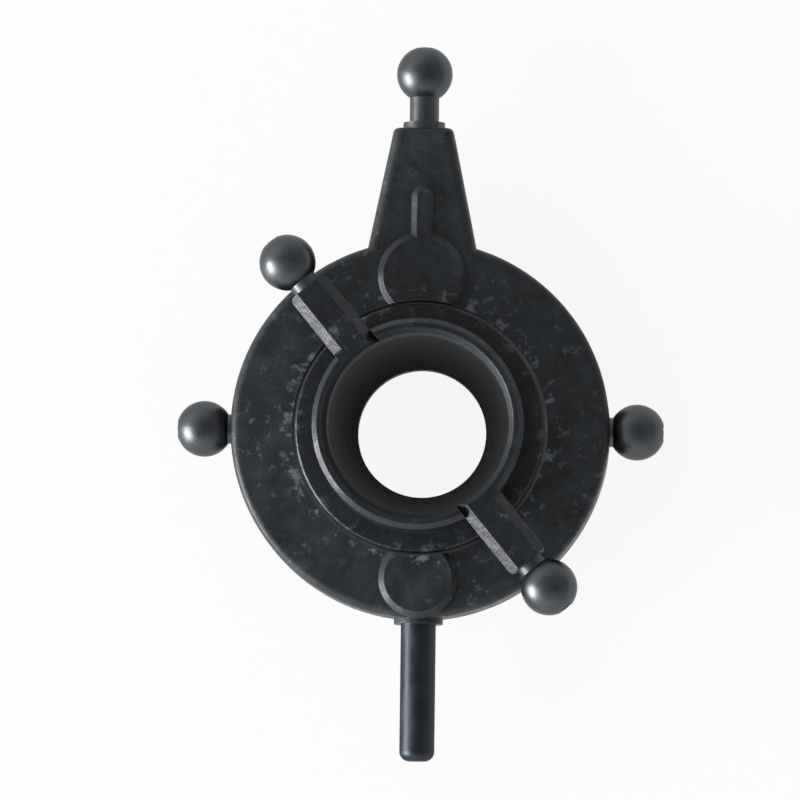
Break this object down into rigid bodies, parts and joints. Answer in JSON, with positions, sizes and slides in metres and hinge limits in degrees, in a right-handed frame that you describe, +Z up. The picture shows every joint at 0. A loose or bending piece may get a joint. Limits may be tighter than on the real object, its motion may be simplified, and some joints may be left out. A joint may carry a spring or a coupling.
{
  "type": "helicopter swashplate",
  "caption": "Model helicopter swashplate: a stationary ring with linkage balls and anti-rotation pin, and a rotating two-armed hub on a caged ball bearing.",
  "frame": {"origin": "on the rotor axis, in the plane of the stationary linkage balls", "axes": "+Z up along the rotor axis, +Y along the long front arm, +X to the right-hand linkage ball"},
  "size_m": [0.0346, 0.0511, 0.0113],
  "materials": {
    "ring_nylon": "satin black glass-filled nylon",
    "hub_nylon": "satin black glass-filled nylon",
    "ball_steel": "blackened and polished",
    "pin_steel": "blued steel, drawn",
    "bearing_steel": "ground and polished",
    "spring_steel": "phosphated",
    "cage_steel": "pressed"
  },
  "bodies": {
    "stationary": {"stationary_ring": "ring_nylon", "right_ball_stud": "ball_steel", "left_ball_stud": "ball_steel", "front_ball_stud": "ball_steel", "anti_rotation_pin": "pin_steel", "bearing_outer_race": "bearing_steel", "ring_snap_ring": "spring_steel"},
    "rotating": {"rotating_hub": "hub_nylon", "rotating_ball_stud_a": "ball_steel", "rotating_ball_stud_b": "ball_steel", "bearing_inner_race": "bearing_steel", "hub_snap_ring": "spring_steel"},
    "cage": {"cage_upper_half": "cage_steel", "cage_lower_half": "cage_steel", "bearing_ball_01": "bearing_steel", "bearing_ball_02": "bearing_steel", "bearing_ball_03": "bearing_steel", "bearing_ball_04": "bearing_steel", "bearing_ball_05": "bearing_steel", "bearing_ball_06": "bearing_steel", "bearing_ball_07": "bearing_steel", "bearing_ball_08": "bearing_steel", "bearing_ball_09": "bearing_steel", "bearing_ball_10": "bearing_steel", "bearing_ball_11": "bearing_steel", "bearing_ball_12": "bearing_steel", "bearing_ball_13": "bearing_steel"}
  },
  "joints": [
    {"name": "rotor_spin", "type": "hinge", "parent": "stationary", "child": "rotating", "pos_m": [0, 0, -0.0006], "axis": [0, 0, 1], "continuous": true},
    {"name": "cage_spin", "type": "hinge", "parent": "stationary", "child": "cage", "pos_m": [0, 0, -0.0006], "axis": [0, 0, 1], "continuous": true}
  ],
  "couplings": [
    {"joint": "cage_spin", "follows": "rotor_spin", "ratio": 0.4556}
  ]
}
